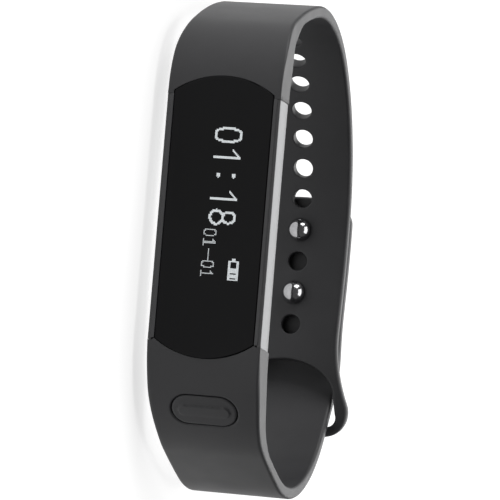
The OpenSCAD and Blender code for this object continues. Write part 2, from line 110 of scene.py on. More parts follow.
# Radii of the bands' edges beside the core, on the strap and at the core's end, and where they grow
CORE_EDGE_R = 0.22
STRAP_EDGE_R = 0.5
END_EDGE_R = 0.07
UPPER_EDGE_S = (5.0, 15.0)
LOWER_EDGE_S = (4.0, 10.0)

# Core. The top, the bottom and the trim's bottom each have an x at the front face and one at full depth
CORE_TOP_X = (-22.1, -21.9)
CORE_BOTTOM_X = (14.8, 15.7)
TRIM_BOTTOM_X = (13.4, 14.3)
CORE_MID_T = 6.3
TRIM_T = 0.6
WINDOW_HALF_W = 7.4
WINDOW_X = (-22.6, 13.1)
WINDOW_BOW = 2.4
WINDOW_T = 0.9
WINDOW_GAP = 0.05
POCKET_DEPTH = 1.1
# The fall of the core's cut ends fades out along the band within this distance
CUT_FADE = 9.0
LIP_RISE = 0.06
LIP_W = 0.52
TRIM_SINK = 0.3
TRIM_EDGE_R = 0.14
TRIM_CROWN = 0.1
STRIP_GAP = 0.03

# Keeper ring and holes. Past this distance the upper strap lies on the back of the loop
RING_FROM_S = 90.0
RING_HALF_W = 10.55
FLARE_X = 10.0
RING_END_X = 26.3
RING_CORNER_R = 3.8
RING_CORNER_A = 114
LEG_W = 1.85
BAR_W = 1.6
ARCH_X = 14.7
ARCH_H = 5.6
ARCH_HALF_W = 8.05
OPENING_CORNER_R = 1.4
OPENING_CORNER_A = 115
# Radii of the opening's edge at the arch and at the bar, and where they change over
OPENING_EDGE_R = (0.25, 0.38)
OPENING_EDGE_S = (106.0, 111.0)
HOLES = 11
HOLE_PITCH = 5.15
LAST_HOLE_S = 99.5
HOLE_R = 1.55
HOLE_EDGE_R = 0.16
STUD_HOLES = (8, 10)
STUD_HOLE_GROW = 0.12
STUD_HOLE_EDGE_R = 0.3

# Key
KEY_S = 13.6
KEY_SIZE = (9.6, 4.8)
KEY_GAP = 0.3
# How far the soft edges on both sides of the gap swell into it, and the depth of the pocket for the switch
KEY_FILL = 0.1
KEY_EDGE_R = 0.28
KEY_POCKET = 5.4
KEY_T = 0.8
BAR_SIZE = (7.8, 2.0)
BAR_RISE = 0.24

# Clasp
PLATE_SIZE = (5.2, 5.0)
PLATE_T = 0.5
PLATE_RISE = 0.12
STUD_HEAD_R = 1.8
STUD_NECK_R = 1.2
STUD_LIFT = 0.45

# Steps round a quarter turn of an edge, and the width of the flat rim between an edge and its cap
ROUND_STEPS = 4
SUPPORT = 0.12
WELD_DISTANCE = 1e-6


def smooth(u):
    """Soft step from 0 to 1."""
    c = np.clip(u, 0, 1)
    return c * c * (3 - 2 * c)


def constant(value):
    """A function of plan points that is the same everywhere."""
    return lambda plan: np.full(len(plan), value)


# ---------------------------------------------------------------- courses

class Path:
    """A face of the band seen from the side, as close points and headings looked up by distance."""

    def __init__(self, points, headings):
        self.points = np.array(points, float)
        self.headings = np.unwrap(np.radians(headings))
        steps = np.linalg.norm(np.diff(self.points, axis=0), axis=1)
        self.s = np.concatenate(([0.0], np.cumsum(steps)))
        self.length = self.s[-1]

    def at(self, s, depth):
        """X and Y at a depth below the face."""
        h = np.interp(s, self.s, self.headings)
        x = np.interp(s, self.s, self.points[:, 0]) - depth * np.sin(h)
        y = np.interp(s, self.s, self.points[:, 1]) + depth * np.cos(h)
        return x, y

    def nearest(self, point):
        """Distance along the face of its closest point to a point."""
        return self.s[np.argmin(np.linalg.norm(self.points - np.array(point), axis=1))]

    def front_s(self, x):
        """Distance along the face of places on its front stretch."""
        front = self.s < FRONT_S
        order = np.argsort(self.points[front][:, 0])
        return np.interp(x, self.points[front][order, 0], self.s[front][order])


def walk(start_x, course, step=0.1):
    """Points and headings along a course that begins on the front face."""
    x, y, h = start_x, 0.0, 0.0
    points, headings = [(x, y)], [h]
    for length, turn in course:
        n = max(1, round(length / step))
        for _ in range(n):
            a = turn / n
            chord = length / n
            if a:
                chord *= math.sin(math.radians(a / 2)) / math.radians(a / 2)
            x += chord * math.cos(math.radians(h + a / 2))
            y += chord * math.sin(math.radians(h + a / 2))
            h += a
            points.append((x, y))
            headings.append(h)
    return points, headings


def upper_path():
    """The upper strap's outer face, worked out as its mirror image and turned back."""
    points, headings = walk(-UPPER_START_X, UPPER_COURSE)
    return Path([(-x, y) for x, y in points], [360 - h for h in headings])


def outside(path, s, lift):
    """Points and headings of a line that lies outside a face."""
    x, y = path.at(s, -lift)
    return list(zip(x, y)), list(np.degrees(np.interp(s, path.s, path.headings)))


def lower_path(upper):
    """The lower strap's outer face: its own course, a bridge through the ring, and the tail."""
    points, headings = walk(LOWER_START_X, LOWER_COURSE)
    tail_s = np.arange(TAIL_S[0], TAIL_S[1], -0.1)
    tail_points, tail_headings = outside(upper, tail_s, LAYER_GAP + STRAP_T)
    a, b = np.array(points[-1]), np.array(tail_points[0])
    chord = np.linalg.norm(b - a)
    ha, hb = math.radians(headings[-1]), math.radians(tail_headings[0])
    c1 = a + BRIDGE_GRIP[0] * chord * np.array((math.cos(ha), math.sin(ha)))
    c2 = b - BRIDGE_GRIP[1] * chord * np.array((math.cos(hb), math.sin(hb)))
    for u in np.linspace(0, 1, 150)[1:-1]:
        v = 1 - u
        p = v ** 3 * a + 3 * v * v * u * c1 + 3 * v * u * u * c2 + u ** 3 * b
        d = v * v * (c1 - a) + 2 * v * u * (c2 - c1) + u * u * (b - c2)
        points.append(tuple(p))
        headings.append(math.degrees(math.atan2(d[1], d[0])))
    return Path(points + tail_points, headings + tail_headings)


def sleeve_t(s, end_t, taper):
    """Thickness that thins from a core end to the strap."""
    u = np.clip((s - taper[0]) / (taper[1] - taper[0]), 0, 1)
    return STRAP_T + (end_t - STRAP_T) * (1 + np.cos(np.pi * u)) / 2


def bevelled_t(plan, end_t, taper, side_taper):
    """Thickness under a plan point (distance, z), less towards the bevelled edges."""
    far = sleeve_t(plan[:, 0], end_t, taper)
    side = sleeve_t(plan[:, 0], SIDE_T[1], side_taper)
    slope = np.maximum(far - side, BEVEL_RUN_OUT) / BEVEL_W
    cut = side + (CORE_HALF_W - np.abs(plan[:, 1])) * slope
    return np.where(plan[:, 0] < side_taper[1], np.minimum(far, cut), far)


def bevel_crease(start, narrow_s):
    """Points along the bends where the bevels meet the wrist-side face, as far as the band is wide."""
    s = np.arange(start, narrow_s[1], 0.4)
    s = s[half_width(s, narrow_s) > CORE_HALF_W - 0.35]
    z = np.full(len(s), CORE_HALF_W - BEVEL_W)
    return np.vstack((np.column_stack((s, z)), np.column_stack((s, -z))))


def half_width(s, narrow_s):
    """Half width of the band at a distance along its face."""
    u = smooth((s - narrow_s[0]) / (narrow_s[1] - narrow_s[0]))
    return CORE_HALF_W + (STRAP_HALF_W - CORE_HALF_W) * u


def edge_radius(s, grow_s, is_end):
    """Radius of a band's edge at distances along its face."""
    radius = CORE_EDGE_R + (STRAP_EDGE_R - CORE_EDGE_R) * smooth((s - grow_s[0]) / (grow_s[1] - grow_s[0]))
    radius[is_end] = END_EDGE_R
    return radius


def hole_s(number):
    """Distance along the upper strap of an adjustment hole, counted from the core."""
    return LAST_HOLE_S - (HOLES - number) * HOLE_PITCH


# ---------------------------------------------------------------- slabs with rounded edges

class Loop:
    """A closed line in a slab's plan, with the material on its left. place gives the line at a depth, and
    flat says that it takes one depth for the whole line. step is a depth at which place changes at once. A
    hole with a floor is a pocket of that depth."""

    def __init__(self, points, radius, place=None, step=None, flat=False, floor=None):
        self.points = np.array(points, float)
        self.radius = np.broadcast_to(np.array(radius, float), len(self.points)).copy()
        self.place = place or (lambda depth: self.points)
        self.step = step
        self.flat = flat
        self.floor = floor


def inward(points):
    """Directions into the material at each point of a closed line, longer at corners."""
    ahead = np.roll(points, -1, 0) - points
    ahead /= np.maximum(np.linalg.norm(ahead, axis=1, keepdims=True), 1e-9)
    mean = ahead + np.roll(ahead, 1, 0)
    mean /= np.maximum(np.linalg.norm(mean, axis=1, keepdims=True), 1e-9)
    grow = 1 / np.maximum(0.7, (mean * ahead).sum(1, keepdims=True))
    return np.column_stack((-mean[:, 1], mean[:, 0])) * grow


def rings(loop, thickness):
    """Rows of (u, v, depth) from the near cap's support line over the edge to the far cap's. The far rows
    follow the thickness at their own place."""
    t = thickness(loop.points)
    r = np.minimum(loop.radius, t * 0.45)
    rows = []

    def row(depth, reach, far=False):
        plan = loop.place(float(np.mean(depth)) if loop.flat else depth)
        plan = plan + inward(plan) * np.reshape(reach, (-1, 1))
        rows.append(np.column_stack((plan, depth + thickness(plan) - t if far else depth)))

    reach = r + np.minimum(SUPPORT, r)
    row(0 * t, reach)
    quarter = [math.pi / 2 * i / ROUND_STEPS for i in range(ROUND_STEPS + 1)]
    for q in quarter:
        row(r * (1 - math.cos(q)), r * (1 - math.sin(q)))
    if loop.floor:
        for f in (0.5, 1):
            row(r + (loop.floor - r) * f, r * 0)
        return rows
    low = r
    if loop.step:
        row(r * 0 + loop.step - 0.01, r * 0)
        row(r * 0 + loop.step + 0.01, r * 0)
        low = r * 0 + loop.step + 0.01
    for f in (0.33, 0.67):
        row(low + (t - r - low) * f, r * 0)
    for q in reversed(quarter):
        row(t - r * (1 - math.cos(q)), r * (1 - math.sin(q)), True)
    row(t, reach, True)
    return rows


def inside(points, loops):
    """Which points lie inside an odd number of closed lines."""
    odd = np.zeros(len(points), bool)
    for loop in loops:
        a, b = loop, np.roll(loop, -1, 0)
        for p, q in zip(a, b):
            crosses = (p[1] > points[:, 1]) != (q[1] > points[:, 1])
            if not crosses.any():
                continue
            x = p[0] + (points[:, 1] - p[1]) * (q[0] - p[0]) / ((q[1] - p[1]) or 1e-12)
            odd ^= crosses & (points[:, 0] < x)
    return odd


def grid_points(loops, spacing, clear):
    """Regular points inside closed lines that keep clear of the lines' own points."""
    every = np.vstack(loops)
    lo, hi = every.min(0), every.max(0)
    counts = [max(2, int((hi[i] - lo[i]) / spacing[i])) for i in (0, 1)]
    u, v = (np.linspace(lo[i], hi[i], counts[i] + 1)[1:-1] for i in (0, 1))
    points = np.array([(a, b) for a in u for b in v]).reshape(-1, 2)
    points = points[inside(points, loops)]
    keep = np.ones(len(points), bool)
    for p in every:
        keep &= np.abs(points - p).max(1) > clear
    return points[keep]


def cap(rows, reliefs, spacing, clear, depth_of, crease):
    """Vertices and triangles that fill a cap. rows are its edge lines, kept first and in order. crease is
    points along a bend in the cap."""
    edge = [r[:, :2] for r in rows]
    bumps = [(np.array(points, float), depth) for points, depth in reliefs]
    fill = grid_points(edge, spacing, clear)
    for points, _ in bumps:
        for p in points:
            fill = fill[np.abs(fill - p).max(1) > clear / 2]
    crease = crease[inside(crease, edge)]
    for p in np.vstack(edge):
        crease = crease[np.linalg.norm(crease - p, axis=1) > clear / 2]
    for p in crease:
        fill = fill[np.abs(fill - p).max(1) > clear / 2]
    fill = np.vstack((crease, fill))
    fill_depth = depth_of(fill)
    plan = np.vstack(edge + [b[0] for b in bumps] + [fill])
    bump_depths = [np.broadcast_to(d, len(p)) for p, d in bumps]
    depth = np.concatenate([r[:, 2] for r in rows] + bump_depths + [fill_depth])
    lines, start = [], 0
    for p in edge + [b[0] for b in bumps]:
        lines += [(start + i, start + (i + 1) % len(p)) for i in range(len(p))]
        start += len(p)
    out, _, faces, origin, _, _ = delaunay_2d_cdt([Vector(p) for p in plan], lines, [], 0, 1e-7)
    first = [o[0] for o in origin]
    tris = np.array([[first[i] for i in f] for f in faces])
    centres = plan[tris].mean(1)
    return np.column_stack((plan, depth)), tris[inside(centres, edge)]


def slab(name, loops, thickness, space, spacing=(0.8, 1.1), clear=0.35, near=(), near_depth=None,
         crease=np.empty((0, 2))):
    """A mesh between two caps with rounded edges. space turns columns u, v, depth into the profile frame.
    near holds raised lines of the near cap, as points and depths, and near_depth is its depth elsewhere."""
    verts, faces = [], []
    top_rows, bottom_rows, top_ids, bottom_ids, floors = [], [], [], [], []
    for loop in loops:
        rows = rings(loop, thickness)
        n, base = len(loop.points), len(verts)
        for row in rows:
            verts.extend(row)
        for k in range(len(rows) - 1):
            for i in range(n):
                j = (i + 1) % n
                a = base + k * n
                faces.append((a + i, a + j, a + n + j, a + n + i))
        top_rows.append(rows[0])
        top_ids.extend(range(base, base + n))
        last = list(range(base + (len(rows) - 1) * n, base + len(rows) * n))
        if loop.floor:
            floors.append(([rows[-1]], last, (), constant(loop.floor)))
        else:
            bottom_rows.append(rows[-1])
            bottom_ids.extend(last)
    caps = [(top_rows, top_ids, near, near_depth or constant(0.0)), (bottom_rows, bottom_ids, (), thickness)]
    for rows, ids, reliefs, depth_of in caps + floors:
        bends = crease if depth_of is thickness else crease[:0]
        points, tris = cap(rows, reliefs, spacing, clear, depth_of, bends)
        known = len(ids)
        ids = ids + list(range(len(verts), len(verts) + len(points) - known))
        verts.extend(points[known:])
        faces.extend(tuple(ids[i] for i in t) for t in tris)
    points = space(np.array(verts))
    return mesh_piece(name, points, faces)


def mesh_piece(name, points, faces):
    """A smooth-shaded object from profile-frame points in millimetres."""
    mesh = bpy.data.meshes.new(name)
    mesh.from_pydata((np.asarray(points) * MM + ORIGIN).tolist(), [], [list(map(int, f)) for f in faces])
    mesh.validate()
    obj = bpy.data.objects.new(name, mesh)
    bpy.context.scene.collection.objects.link(obj)
    outward(mesh)
    mesh.polygons.foreach_set("use_smooth", [True] * len(mesh.polygons))
    weighted = obj.modifiers.new("shading", "WEIGHTED_NORMAL")
    weighted.keep_sharp = True
    return obj


def outward(mesh, weld=False):
    """Turns the faces outwards, and first joins the points that coincide if asked to."""
    bm = bmesh.new()
    bm.from_mesh(mesh)
    if weld:
        bmesh.ops.remove_doubles(bm, verts=bm.verts, dist=WELD_DISTANCE)
    bmesh.ops.recalc_face_normals(bm, faces=bm.faces)
    bm.to_mesh(mesh)
    bm.free()


def resample(points, gap):
    """Points about gap apart along an open line."""
    points = np.array(points, float)
    s = np.concatenate(([0], np.cumsum(np.linalg.norm(np.diff(points, axis=0), axis=1))))
    keep = np.linspace(0, s[-1], max(2, round(s[-1] / gap) + 1))
    return np.column_stack([np.interp(keep, s, points[:, i]) for i in (0, 1)])


def arc(centre, radius, a0, a1, n):
    """Points along an arc between two angles in degrees."""
    angles = [math.radians(a0 + (a1 - a0) * i / n) for i in range(n + 1)]
    return [(centre[0] + radius * math.cos(a), centre[1] + radius * math.sin(a)) for a in angles]


def ring_of(centre, radius, n=40):
    """A hole's edge, clockwise so that the material is on its left."""
    return np.array(arc(centre, radius, 360, 0, n)[:-1])


def stadium(centre, size, n=14):
    """Stadium, long across the band, counter-clockwise. size is (length across, width along)."""
    half, r = (size[0] - size[1]) / 2, size[1] / 2
    points = arc((centre[0], centre[1] + half), r, 0, 180, n)
    points += arc((centre[0], centre[1] - half), r, 180, 360, n)
    straight = resample([points[n], points[n + 1]], 0.8)[1:-1]
    back = resample([points[-1], points[0]], 0.8)[1:-1]
    return np.vstack((points[:n + 1], straight, points[n + 1:], back))


def window_end(side, grow):
    """Half of the glass's bowed end from the middle outwards, as (x, z). side is -1 at the top."""
    half = WINDOW_HALF_W
    r = (half * half + WINDOW_BOW ** 2) / (2 * WINDOW_BOW)
    x_end = WINDOW_X[0] - WINDOW_BOW if side < 0 else WINDOW_X[1] + WINDOW_BOW
    centre = x_end - side * r
    r += grow
    z = np.linspace(0, half + grow, 15)
    return np.column_stack((centre + side * np.sqrt(r * r - z * z), z))


def mirrored(half):
    """A closed counter-clockwise line from its half with z >= 0, which runs from high u to low u or back."""
    half = np.array(half, float)
    other = half[::-1] * (1, -1)
    if abs(half[-1][1]) < 1e-9:
        other = other[1:]
    if abs(half[0][1]) < 1e-9:
        other = other[:-1]
    line = np.vstack((half, other))
    area = 0.5 * np.sum(line[:, 0] * np.roll(line[:, 1], -1) - np.roll(line[:, 0], -1) * line[:, 1])
    return line if area > 0 else line[::-1]


def core_end(path, along, line, is_end, x_top, z_low, cut_x, is_ear):
    """place function of an outline whose end points keep to the glass and, below it, to the core's cut. The
    points of an ear keep to the end of the trim at every depth."""
    def place(depth):
        plan = line.copy()
        s = plan[:, 0].copy()
        plan[:, 1] = np.where(is_end & (depth > POCKET_DEPTH), z_low, plan[:, 1])
        for _ in range(12):
            x, y = path.at(s, depth)
            near, far = (np.where(is_ear, t, c) for t, c in zip(TRIM_BOTTOM_X, cut_x))
            target = np.where((depth < POCKET_DEPTH) & ~is_ear, x_top, near + (far - near) * y / CORE_END_T)
            s = np.where(is_end, s + along * (target - x), s)
        edge = np.argmax(is_end & (np.abs(line[:, 1]) > CORE_HALF_W - 0.05))
        shift = s[edge] - line[edge, 0]
        fade = np.clip(1 - (line[:, 0] - line[edge, 0]) / CUT_FADE, 0, 1)
        plan[:, 0] = np.where(is_end, s, line[:, 0] + shift * fade)
        return plan
    return place


def end_outline(half, front, ears=0):
    """A strap's whole outline from its half, whose last points are its core end. Also which points belong to
    that end, their x at the front face, their z below the glass, where the end is straight, and which points
    belong to an ear."""
    line = mirrored(half)
    n, first = len(half), len(half) - len(front)
    lookup = {(round(p[0], 6), round(p[1], 6)): i for i, p in enumerate(half)}
    which = np.array([lookup[(round(p[0], 6), round(abs(p[1]), 6))] for p in line])
    x_top = np.concatenate((np.zeros(first), front[:, 0]))
    straight = np.linspace(front[max(ears - 1, 0), 1], 0, n - first - ears)
    z_low = np.concatenate((np.zeros(first), front[:ears, 1], straight))
    is_ear = (which >= first) & (which < first + ears)
    return line, which >= first, x_top[which], z_low[which] * np.sign(line[:, 1]), is_ear


def band_space(path):
    """Profile-frame points from columns of distance, z and depth."""
    def space(c):
        x, y = path.at(c[:, 0], c[:, 2])
        return np.column_stack((x, y, c[:, 1]))
    return space


# ---------------------------------------------------------------- straps

def ring_opening(ring_s):
    """The keeper ring's opening: an arch over the strap, straight sides and small corners at the bar."""
    w = RING_HALF_W - LEG_W
    arch = [(ARCH_X + ARCH_H * (1 - math.sin(math.radians(a))), -ARCH_HALF_W * math.cos(math.radians(a)))
            for a in np.linspace(90, 180, 19)]
    r = OPENING_CORNER_R
    bar_x = RING_END_X - BAR_W
    corner = arc((bar_x - r, w - r), r, OPENING_CORNER_A, 0, 9)
    half = np.vstack((resample(arch + [corner[0]], 0.6), corner[1:], [(bar_x, 2.4), (bar_x, 0)]))
    return mirrored(np.column_stack((ring_s(half[:, 0]), half[:, 1])))[::-1]


def upper_band(upper):
    """The upper strap with its sleeve beside the core, its adjustment holes and the keeper ring."""
    back = upper.s > RING_FROM_S

    def ring_s(x):
        return np.interp(x, upper.points[back][:, 0], upper.s[back])

    # Half outline from the ring's bar, round its corner, along the side to the core, and over the glass's end
    bar = [(RING_END_X, z) for z in np.linspace(0, RING_HALF_W - RING_CORNER_R, 8)[:-1]]
    middle = (RING_END_X - RING_CORNER_R, RING_HALF_W - RING_CORNER_R)
    corner = arc(middle, RING_CORNER_R, 0, RING_CORNER_A, 15)

    def plan_width(s):
        w = half_width(s, UPPER_NARROW_S)
        u = np.clip((upper.at(s, 0)[0] - FLARE_X) / (corner[-1][0] - FLARE_X), 0, 1)
        return np.where(s > RING_FROM_S, w + (corner[-1][1] - w) * u * u, w)

    end = np.array([(float(ring_s(x)), z) for x, z in bar + corner])
    start = -CORE_TOP_X[0] + UPPER_START_X
    side_s = np.arange(end[-1, 0] - 0.7, start + 0.3, -0.7)
    side = np.column_stack((side_s, plan_width(side_s)))
    rim = WINDOW_HALF_W + WINDOW_GAP
    top = [(CORE_TOP_X[0], z) for z in (CORE_HALF_W, CORE_HALF_W - TRIM_T, rim)]
    bow = window_end(-1, WINDOW_GAP)[::-1]
    front = np.vstack((resample(top[:2], 0.3), top[2:], bow))
    front_plan = np.column_stack((upper.front_s(front[:, 0]), front[:, 1]))
    half = np.vstack((end, side, front_plan))
    line, is_end, x_top, z_low, is_ear = end_outline(half, front)
    place = core_end(upper, -1, line, is_end, x_top, z_low, CORE_TOP_X, is_ear)
    outer = Loop(line, edge_radius(line[:, 0], UPPER_EDGE_S, is_end), place, POCKET_DEPTH)

    opening = ring_opening(ring_s)
    arch_r, bar_r = OPENING_EDGE_R
    grown = smooth((opening[:, 0] - OPENING_EDGE_S[0]) / (OPENING_EDGE_S[1] - OPENING_EDGE_S[0]))
    loops = [outer, Loop(opening, arch_r + (bar_r - arch_r) * grown)]
    for number in range(1, HOLES + 1):
        stud_hole = number in STUD_HOLES
        edge = ring_of((hole_s(number), 0), HOLE_R + (STUD_HOLE_GROW if stud_hole else 0))
        loops.append(Loop(edge, STUD_HOLE_EDGE_R if stud_hole else HOLE_EDGE_R))

    def thickness(plan):
        return bevelled_t(plan, CORE_END_T, UPPER_TAPER_S, UPPER_SIDE_S)
    return slab("band_upper", loops, thickness, band_space(upper), crease=bevel_crease(start, UPPER_NARROW_S))


def lower_band(lower):
    """The lower strap with its sleeve beside the core and the tail, in one piece."""
    length = lower.length
    phi = np.radians(np.linspace(0, 90, 16))
    end = np.column_stack((length - TAIL_TIP * (1 - np.cos(phi)), STRAP_HALF_W * np.sin(phi) ** 0.8))
    start = TRIM_BOTTOM_X[0] - LOWER_START_X
    side_s = np.arange(length - TAIL_TIP - 0.6, start + 1.3, -0.7)
    side = np.column_stack((side_s, half_width(side_s, LOWER_NARROW_S)))
    inner = CORE_HALF_W - TRIM_T
    ear = resample([(TRIM_BOTTOM_X[0], CORE_HALF_W), (TRIM_BOTTOM_X[0], inner)], 0.3)
    bow = window_end(1, WINDOW_GAP)[::-1]
    front = np.vstack((ear, bow))
    front_plan = np.column_stack((lower.front_s(front[:, 0]), front[:, 1]))
    half = np.vstack((end, side, front_plan))
    line, is_end, x_top, z_low, is_ear = end_outline(half, front, len(ear))
    place = core_end(lower, 1, line, is_end, x_top, z_low, CORE_BOTTOM_X, is_ear)
    outer = Loop(line, edge_radius(line[:, 0], LOWER_EDGE_S, is_end), place, POCKET_DEPTH)
    grow = 2 * (KEY_GAP - KEY_FILL)
    key_hole = stadium((KEY_S, 0), (KEY_SIZE[0] + grow, KEY_SIZE[1] + grow))[::-1]
    loops = [outer, Loop(key_hole, KEY_EDGE_R, floor=KEY_POCKET)]

    def thickness(plan):
        return bevelled_t(plan, LOWER_SLEEVE_T, LOWER_TAPER_S, LOWER_SIDE_S)
    return slab("band_lower", loops, thickness, band_space(lower), crease=bevel_crease(start, LOWER_NARROW_S))


def soft_key(lower):
    """Flap with a bar that stands proud along its upper edge and falls away to its lower edge."""
    def rise(points):
        v = (points[:, 0] - KEY_S) / BAR_SIZE[1]
        return -BAR_RISE * (0.55 - 0.9 * v)
    base = stadium((KEY_S, 0), BAR_SIZE)
    crest = stadium((KEY_S, 0), (BAR_SIZE[0] - 0.2, BAR_SIZE[1] - 0.2))
    inner = stadium((KEY_S, 0), (BAR_SIZE[0] - 0.5, BAR_SIZE[1] - 0.5))

    def depth(points):
        return np.where(inside(points, [inner]), rise(points), 0.0)
    edge = stadium((KEY_S, 0), (KEY_SIZE[0] + 2 * KEY_FILL, KEY_SIZE[1] + 2 * KEY_FILL))
    bar = [(base, 0.0), (crest, rise(crest)), (inner, rise(inner))]
    return slab("soft_key", [Loop(edge, KEY_EDGE_R)], constant(KEY_T), band_space(lower), (0.3, 0.3), 0.12,
                bar, depth)


# ---------------------------------------------------------------- core

def window_glass():
    """Black glass with bowed ends."""
    top = window_end(-1, 0)
    bottom = window_end(1, 0)
    side = resample([(WINDOW_X[0], WINDOW_HALF_W), (WINDOW_X[1], WINDOW_HALF_W)], 1.5)[1:-1]
    line = mirrored(np.vstack((top, side, bottom[::-1])))
    return slab("window_glass", [Loop(line, 0.16)], constant(WINDOW_T),
                lambda c: np.column_stack((c[:, 0], c[:, 2], c[:, 1])), (2.0, 2.0), 0.5)


def side_profile(into):
    """Outline of the core's side as (x, y) at a distance into it, where the bevel lies deeper."""
    mid = (CORE_TOP_X[1] + CORE_BOTTOM_X[1]) / 2
    half = (CORE_BOTTOM_X[1] - CORE_TOP_X[1]) / 2
    end_x = TRIM_BOTTOM_X[0] + (TRIM_BOTTOM_X[1] - TRIM_BOTTOM_X[0]) * SIDE_T[1] / CORE_END_T
    back = []
    for u in np.linspace((end_x - mid) / half, -1, 33):
        side = SIDE_T[0] + (SIDE_T[1] - SIDE_T[0]) * u * u
        belly = CORE_MID_T + (CORE_END_T - CORE_MID_T) * u * u
        back.append((mid + half * u, side + (belly - side) * into / BEVEL_W))
    front = resample([(CORE_TOP_X[0], TRIM_SINK), (TRIM_BOTTOM_X[0], TRIM_SINK)], 1.0)
    down = np.linspace(front[-1], back[0], 6)[1:-1]
    up = np.linspace(back[-1], front[0], 6)[1:-1]
    return np.vstack((front, down, back, up))


def side_trim(name, side):
    """Metal trim with rounded edges and a slightly crowned face."""
    def space(c):
        crown = TRIM_CROWN * ((c[:, 1] - SIDE_T[0] / 2) / (SIDE_T[0] / 2)) ** 2
        out = CORE_HALF_W - c[:, 2] - crown * (1 - np.clip(c[:, 2] / TRIM_T, 0, 1))
        return np.column_stack((c[:, 0], c[:, 1], side * out))
    outline = Loop(side_profile(0), TRIM_EDGE_R, side_profile, flat=True)
    return slab(name, [outline], constant(TRIM_T), space, (1.2, 0.7), 0.3)


def edge_strip(name, side, z, y, x_end):
    """Dark plastic strip along the core between two z and two y."""
    x0 = CORE_TOP_X[0] + 0.02
    sides = [[(x0, z[0]), (x_end, z[0])], [(x_end, z[1]), (x0, z[1])]]
    line = np.vstack([resample(pair, 1.0) for pair in sides])
    return slab(name, [Loop(line, 0.06)], constant(y[1] - y[0]),
                lambda c: np.column_stack((c[:, 0], c[:, 2] + y[0], side * c[:, 1])), (4.0, 1.0), 0.1)


def case_edges(name, side):
    """The case's raised lip beside the glass, and the groove between it and the metal trim."""
    lip_z = WINDOW_HALF_W + STRIP_GAP
    lip = edge_strip(name + "_lip", side, (lip_z, lip_z + LIP_W), (-LIP_RISE, 0.12), WINDOW_X[1] - STRIP_GAP)
    groove_z = (CORE_HALF_W - TRIM_T + 0.02, CORE_HALF_W - STRIP_GAP)
    groove_y = (0.06, TRIM_SINK + 0.04)
    return lip, edge_strip(name + "_groove", side, groove_z, groove_y, TRIM_BOTTOM_X[0] - 0.02)


# ---------------------------------------------------------------- display image

# Pitch of the panel's dots, how many there are, and where the first one lies
DOT = 0.175
PANEL_DOTS = (128, 34)
PANEL_X = -17.9
PANEL_Z = -1.53


def stroke_set():
    """Lines of the lit image in dots, as (points, half thickness, half size of a lit dot). The first digit is
    at low u."""
    def ellipse(cu, cv, ru, rv, power=2.0, n=48):
        """Round figure, squarer for a higher power."""
        out = []
        for i in range(n + 1):
            a = 2 * math.pi * i / n
            c, s = math.cos(a), math.sin(a)
            out.append((cu + ru * math.copysign(abs(c) ** (2 / power), c),
                        cv + rv * math.copysign(abs(s) ** (2 / power), s)))
        return out

    def one(u, v, h, flag):
        """The digit 1 with its slanted flag."""
        return [(u - flag, v + h - flag), (u, v + h), (u, v)]

    strokes = []
    big = (1.05, 0.45)
    strokes.append((ellipse(7, 15, 5.3, 10.8, 2.6), *big))
    for u in (25.5, 59.5):
        strokes.append((one(u, 4, 22, 6), *big))
    for v in (9, 22):
        strokes.append(([(40.3, v), (40.4, v)], 1.85, 0.45))
    strokes.append((ellipse(74.6, 10.1, 5.6, 5.3), *big))
    strokes.append((ellipse(74.6, 20.6, 4.5, 5.1), *big))
    small = (0.62, 0.35)
    for u in (87.4, 113.2):
        strokes.append((ellipse(u, 6, 2.6, 5.2, 2.4), *small))
    for u in (95.6, 121.3):
        strokes.append((one(u, 1, 10, 2), *small))
        strokes.append(([(u - 2, 1), (u + 2, 1)], *small))
    strokes.append(([(101.5, 6), (108.5, 6)], *small))
    # Battery: outline, nub and two filled cells
    cell = (0.62, 0.44)
    strokes.append(([(110, 24.5), (125, 24.5), (125, 31.5), (110, 31.5), (110, 24.5)], *cell))
    strokes.append(([(108.6, 26.5), (108.6, 29.5)], *cell))
    for u in (116.5, 121):
        for k in (0, 1, 2):
            strokes.append(([(u + k, 25), (u + k, 31)], 0.55, 0.44))
    return strokes


def lit_dots():
    """Centres of the panel's lit dots, in dots, with half the size of each."""
    u, v = np.meshgrid(*(np.arange(count) + 0.5 for count in PANEL_DOTS), indexing="ij")
    points = np.column_stack((u.ravel(), v.ravel()))
    size = np.zeros(len(points))
    for line, half, dot in stroke_set():
        for a, b in zip(line[:-1], line[1:]):
            a, b = np.array(a) + 0.5, np.array(b) + 0.5
            d = b - a
            t = np.clip(((points - a) @ d) / max(d @ d, 1e-9), 0, 1)
            near = np.linalg.norm(points - (a + t[:, None] * d), axis=1) < half
            size[near] = np.maximum(size[near], dot)
    return np.column_stack((points, size))[size > 0]


def display_image():
    """Each lit dot as a thin tile on the glass."""
    front, behind = -0.012, 0.05
    verts, faces = [], []
    for u, v, half in lit_dots():
        base = len(verts)
        for y in (front, behind):
            for du, dv in ((-half, -half), (half, -half), (half, half), (-half, half)):
                verts.append((PANEL_X + (u + du) * DOT, y, PANEL_Z + (v + dv) * DOT))
        faces += [(base, base + 1, base + 2, base + 3), (base + 7, base + 6, base + 5, base + 4)]
        faces += [(base + i, base + 4 + i, base + 4 + (i + 1) % 4, base + (i + 1) % 4) for i in range(4)]
    obj = mesh_piece("display_image", verts, faces)
    obj.modifiers.clear()
    obj.data.polygons.foreach_set("use_smooth", [False] * len(obj.data.polygons))
    return obj


# ---------------------------------------------------------------- clasp

